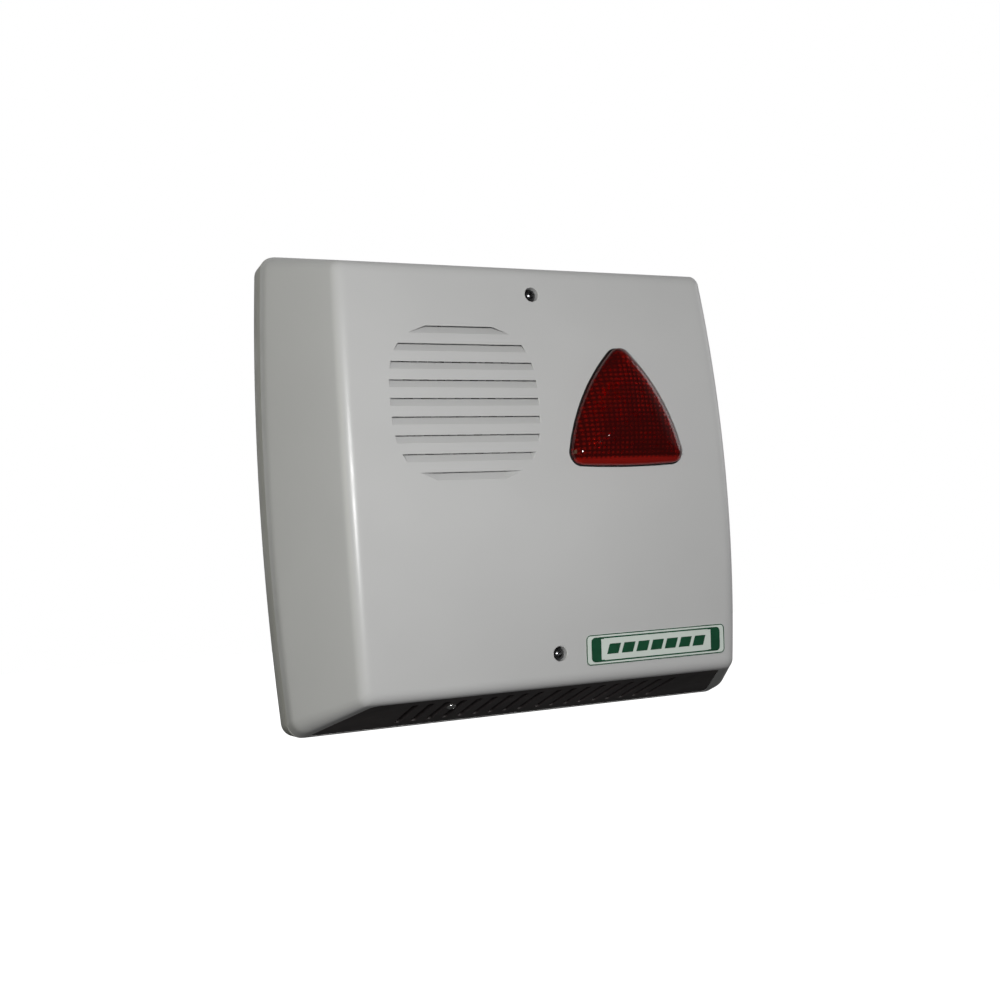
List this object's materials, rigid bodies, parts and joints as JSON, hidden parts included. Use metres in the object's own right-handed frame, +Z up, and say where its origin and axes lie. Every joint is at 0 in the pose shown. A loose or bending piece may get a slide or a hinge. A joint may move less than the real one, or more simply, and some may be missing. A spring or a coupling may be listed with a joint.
{
  "type": "alarm siren",
  "caption": "Square wall-mounted alarm siren with a tapered plastic cover, louvred horn outlet, triangular red beacon and tamper switches over a flat base tray.",
  "frame": {"origin": "centre of the flat back of the base tray, where it meets the wall", "axes": "+Y into the wall, the front faces -Y, +X to the right seen from the front, +Z up"},
  "size_m": [0.2646, 0.086, 0.249],
  "materials": {
    "cover_plastic": "warm grey textured ABS, satin",
    "base_plastic": "olive grey ABS, satin",
    "black_plastic": "black ABS, satin",
    "lens_red": "clear red polycarbonate with moulded prisms",
    "rubber": "black elastomer",
    "screw_steel": "bright zinc-plated steel",
    "plated_sheet": "zinc-plated sheet steel",
    "ferrite": "sintered ferrite, matt dark grey",
    "diaphragm_film": "amber phenolic film",
    "white_plastic": "white nylon",
    "reflector": "bright aluminium",
    "brass": "bright brass",
    "clear_glass": "clear glass",
    "battery_plastic": "dark grey ABS",
    "board_green": "green solder mask on glass laminate",
    "terminal_green": "green polyamide",
    "part_blue": "blue moulding and sleeve",
    "red_pvc": "red PVC",
    "black_pvc": "black PVC",
    "badge_film": "white vinyl with a green printed frame"
  },
  "bodies": {
    "base": {"base_tray": "base_plastic", "cover_seal": "rubber", "cable_grommet": "rubber", "horn_flare": "black_plastic", "horn_phase_plug": "black_plastic", "driver_housing": "plated_sheet", "driver_magnet": "ferrite", "horn_bracket": "plated_sheet", "bracket_screw_1": "screw_steel", "bracket_screw_2": "screw_steel", "lamp_holder": "white_plastic", "bulb_cap": "brass", "bulb_glass": "clear_glass", "lamp_reflector": "reflector", "battery_case": "battery_plastic", "battery_lid": "battery_plastic", "battery_terminal_pos": "brass", "battery_terminal_neg": "brass", "battery_strap": "plated_sheet", "strap_screw_1": "screw_steel", "strap_screw_2": "screw_steel", "circuit_board": "board_green", "board_screw_1": "screw_steel", "board_screw_2": "screw_steel", "board_screw_3": "screw_steel", "board_screw_4": "screw_steel", "terminal_block": "terminal_green", "smoothing_capacitor": "part_blue", "relay": "part_blue", "amplifier_transistor": "black_plastic", "heat_sink": "reflector", "micro_controller": "black_plastic", "fuse_holder": "black_plastic", "fuse": "clear_glass", "setting_jumper": "red_pvc", "tamper_switch": "black_plastic", "tamper_spring": "screw_steel", "wall_tamper_switch": "black_plastic", "battery_lead_pos": "red_pvc", "battery_lead_neg": "black_pvc", "horn_lead": "black_pvc"},
    "cover": {"front_cover": "cover_plastic", "bottom_grille": "black_plastic", "grille_screw": "screw_steel", "badge_label": "badge_film", "screw_washer_top": "rubber", "screw_washer_bottom": "rubber", "horn_guard": "plated_sheet", "guard_screw_1": "screw_steel", "guard_screw_2": "screw_steel", "beacon_lens": "lens_red", "lens_gasket": "rubber", "lens_screw_1": "screw_steel", "lens_screw_2": "screw_steel", "lens_screw_3": "screw_steel"},
    "top_screw": {"cover_screw_top": "screw_steel"},
    "bottom_screw": {"cover_screw_bottom": "screw_steel"},
    "plunger": {"tamper_plunger": "white_plastic"},
    "wall_pin": {"wall_tamper_pin": "white_plastic"},
    "diaphragm": {"driver_diaphragm": "diaphragm_film"}
  },
  "joints": [
    {"name": "cover_lift", "type": "slide", "parent": "base", "child": "cover", "axis": [0, -1, 0], "range_m": [0, 0.12]},
    {"name": "top_screw_turn", "type": "hinge", "parent": "cover", "child": "top_screw", "pos_m": [0, -0.067, 0.0935], "axis": [0, -1, 0], "continuous": true},
    {"name": "bottom_screw_turn", "type": "hinge", "parent": "cover", "child": "bottom_screw", "pos_m": [0, -0.067, -0.0923], "axis": [0, -1, 0], "continuous": true},
    {"name": "plunger_travel", "type": "slide", "parent": "base", "child": "plunger", "axis": [0, -1, 0], "range_m": [0, 0.003], "deforming": ["tamper_spring"]},
    {"name": "wall_pin_travel", "type": "slide", "parent": "base", "child": "wall_pin", "axis": [0, 1, 0], "range_m": [0, 0.003]},
    {"name": "diaphragm_stroke", "type": "slide", "parent": "base", "child": "diaphragm", "axis": [0, -1, 0], "range_m": [-0.0004, 0.0004], "stiffness_N_per_m": 2000}
  ],
  "couplings": [
    {"joint": "plunger_travel", "follows": "cover_lift", "ratio": 0.025}
  ]
}
